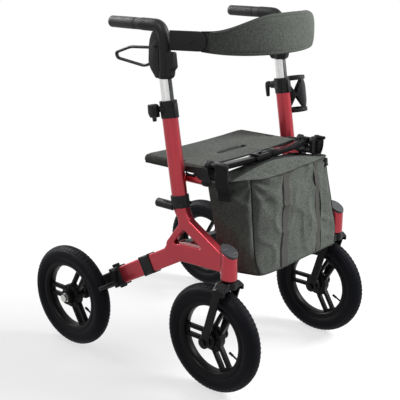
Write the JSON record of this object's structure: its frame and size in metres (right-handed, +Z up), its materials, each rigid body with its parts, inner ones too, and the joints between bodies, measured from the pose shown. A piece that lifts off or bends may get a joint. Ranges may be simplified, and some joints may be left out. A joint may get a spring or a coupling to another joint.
{
  "type": "all terrain rollator",
  "caption": "Folding walking frame on large air-filled wheels with swivel front forks, height-adjustable brake handles, sling seat, carry bag and padded backrest.",
  "frame": {"origin": "centre of the footprint on the ground, midway between the four wheels", "axes": "+Z up, -Y to the front where the swivel wheels are, -X to the user's right hand"},
  "size_m": [0.69, 0.808, 0.9916],
  "materials": {
    "red_paint": "satin",
    "black_metal": "satin",
    "black_plastic": "matte",
    "slate_plastic": "matte",
    "grip_rubber": "matte",
    "tyre_rubber": "matte",
    "silver_tube": "satin",
    "steel": "brushed",
    "grey_cloth": "melange weave"
  },
  "bodies": {
    "frame_right": {"upright_right": "red_paint", "y_frame_right": "red_paint", "rear_leg_right": "red_paint", "leg_collar_right": "black_plastic", "brake_housing_right": "black_plastic", "rear_axle_right": "steel", "head_cap_right": "slate_plastic", "clamp_collar_right": "black_plastic", "seat_arm_right": "red_paint", "seat_cradle_right": "black_plastic", "seat_rail_right": "black_metal", "seat": "grey_cloth", "bag": "grey_cloth", "cane_clip": "black_plastic"},
    "frame_left": {"upright_left": "red_paint", "y_frame_left": "red_paint", "rear_leg_left": "red_paint", "leg_collar_left": "black_plastic", "brake_housing_left": "black_plastic", "rear_axle_left": "steel", "head_cap_left": "slate_plastic", "clamp_collar_left": "black_plastic", "seat_arm_left": "red_paint", "seat_cradle_left": "black_plastic", "seat_rail_left": "black_metal", "cup_holder": "black_plastic"},
    "handle_right": {"handle_tube_right": "silver_tube", "handle_body_right": "black_plastic", "grip_right": "grip_rubber", "back_bracket_right": "black_plastic", "backrest": "grey_cloth"},
    "brake_lever_right": {"brake_lever_right": "black_plastic"},
    "clamp_lever_right": {"clamp_lever_right": "black_plastic"},
    "brake_shoe_right": {"brake_shoe_right": "black_plastic"},
    "strut_front_right": {"strut_front_right": "black_metal"},
    "strut_low_right": {"strut_low_right": "black_metal"},
    "fork_right": {"fork_right": "black_metal", "steerer_right": "steel", "front_axle_right": "steel"},
    "wheel_front_right": {"tyre_front_right": "tyre_rubber", "rim_front_right": "black_plastic"},
    "wheel_rear_right": {"tyre_rear_right": "tyre_rubber", "rim_rear_right": "black_plastic"},
    "handle_left": {"handle_tube_left": "silver_tube", "handle_body_left": "black_plastic", "grip_left": "grip_rubber", "back_bracket_left": "black_plastic"},
    "brake_lever_left": {"brake_lever_left": "black_plastic"},
    "clamp_lever_left": {"clamp_lever_left": "black_plastic"},
    "brake_shoe_left": {"brake_shoe_left": "black_plastic"},
    "strut_front_left": {"strut_front_left": "black_metal"},
    "strut_low_left": {"strut_low_left": "black_metal"},
    "fork_left": {"fork_left": "black_metal", "steerer_left": "steel", "front_axle_left": "steel"},
    "wheel_front_left": {"tyre_front_left": "tyre_rubber", "rim_front_left": "black_plastic"},
    "wheel_rear_left": {"tyre_rear_left": "tyre_rubber", "rim_rear_left": "black_plastic"}
  },
  "joints": [
    {"name": "fold", "type": "hinge", "parent": "frame_right", "child": "strut_front_right", "pos_m": [-0.206, -0.221, 0.608], "axis": [0, -1, 0], "range_deg": [0, 72], "deforming": ["seat", "bag", "backrest"]},
    {"name": "fold_knee", "type": "hinge", "parent": "strut_front_right", "child": "strut_front_left", "pos_m": [0, -0.221, 0.602], "axis": [0, 1, 0], "range_deg": [0, 144]},
    {"name": "fold_left", "type": "hinge", "parent": "strut_front_left", "child": "frame_left", "pos_m": [0.206, -0.221, 0.608], "axis": [0, -1, 0], "range_deg": [0, 72]},
    {"name": "low_strut", "type": "hinge", "parent": "frame_right", "child": "strut_low_right", "pos_m": [-0.206, -0.125, 0.376], "axis": [0, -1, 0], "range_deg": [0, 72]},
    {"name": "low_knee", "type": "hinge", "parent": "strut_low_right", "child": "strut_low_left", "pos_m": [0, -0.125, 0.37], "axis": [0, 1, 0], "range_deg": [0, 144]},
    {"name": "handle_height_right", "type": "slide", "parent": "frame_right", "child": "handle_right", "axis": [0, 0.153, 0.9882], "range_m": [-0.045, 0.1]},
    {"name": "brake_right", "type": "hinge", "parent": "handle_right", "child": "brake_lever_right", "pos_m": [-0.25, -0.064, 0.906], "axis": [1, 0, 0], "range_deg": [0, 12], "stiffness_Nm_per_rad": 1.5},
    {"name": "brake_arm_right", "type": "hinge", "parent": "frame_right", "child": "brake_shoe_right", "pos_m": [-0.275, 0.10643, 0.25202], "axis": [1, 0, 0], "range_deg": [0, 7]},
    {"name": "clamp_right", "type": "hinge", "parent": "frame_right", "child": "clamp_lever_right", "pos_m": [-0.25, -0.06599, 0.74697], "axis": [1, 0, 0], "range_deg": [0, 60]},
    {"name": "swivel_right", "type": "hinge", "parent": "frame_right", "child": "fork_right", "pos_m": [-0.252, -0.3025, 0.33], "axis": [0, 0, 1], "continuous": true},
    {"name": "front_roll_right", "type": "hinge", "parent": "fork_right", "child": "wheel_front_right", "pos_m": [-0.252, -0.2515, 0.1525], "axis": [1, 0, 0], "continuous": true},
    {"name": "rear_roll_right", "type": "hinge", "parent": "frame_right", "child": "wheel_rear_right", "pos_m": [-0.307, 0.2515, 0.1525], "axis": [1, 0, 0], "continuous": true},
    {"name": "handle_height_left", "type": "slide", "parent": "frame_left", "child": "handle_left", "axis": [0, 0.153, 0.9882], "range_m": [-0.045, 0.1]},
    {"name": "brake_left", "type": "hinge", "parent": "handle_left", "child": "brake_lever_left", "pos_m": [0.25, -0.064, 0.906], "axis": [1, 0, 0], "range_deg": [0, 12], "stiffness_Nm_per_rad": 1.5},
    {"name": "brake_arm_left", "type": "hinge", "parent": "frame_left", "child": "brake_shoe_left", "pos_m": [0.275, 0.10643, 0.25202], "axis": [1, 0, 0], "range_deg": [0, 7]},
    {"name": "clamp_left", "type": "hinge", "parent": "frame_left", "child": "clamp_lever_left", "pos_m": [0.25, -0.06599, 0.74697], "axis": [1, 0, 0], "range_deg": [0, 60]},
    {"name": "swivel_left", "type": "hinge", "parent": "frame_left", "child": "fork_left", "pos_m": [0.252, -0.3025, 0.33], "axis": [0, 0, 1], "continuous": true},
    {"name": "front_roll_left", "type": "hinge", "parent": "fork_left", "child": "wheel_front_left", "pos_m": [0.252, -0.2515, 0.1525], "axis": [1, 0, 0], "continuous": true},
    {"name": "rear_roll_left", "type": "hinge", "parent": "frame_left", "child": "wheel_rear_left", "pos_m": [0.307, 0.2515, 0.1525], "axis": [1, 0, 0], "continuous": true}
  ],
  "couplings": [
    {"joint": "fold_knee", "follows": "fold", "ratio": 2},
    {"joint": "fold_left", "follows": "fold", "ratio": 1},
    {"joint": "low_strut", "follows": "fold", "ratio": 1},
    {"joint": "low_knee", "follows": "fold", "ratio": 2},
    {"joint": "brake_arm_right", "follows": "brake_right", "ratio": 0.58333},
    {"joint": "brake_arm_left", "follows": "brake_left", "ratio": 0.58333},
    {"joint": "handle_height_left", "follows": "handle_height_right", "ratio": 1}
  ]
}
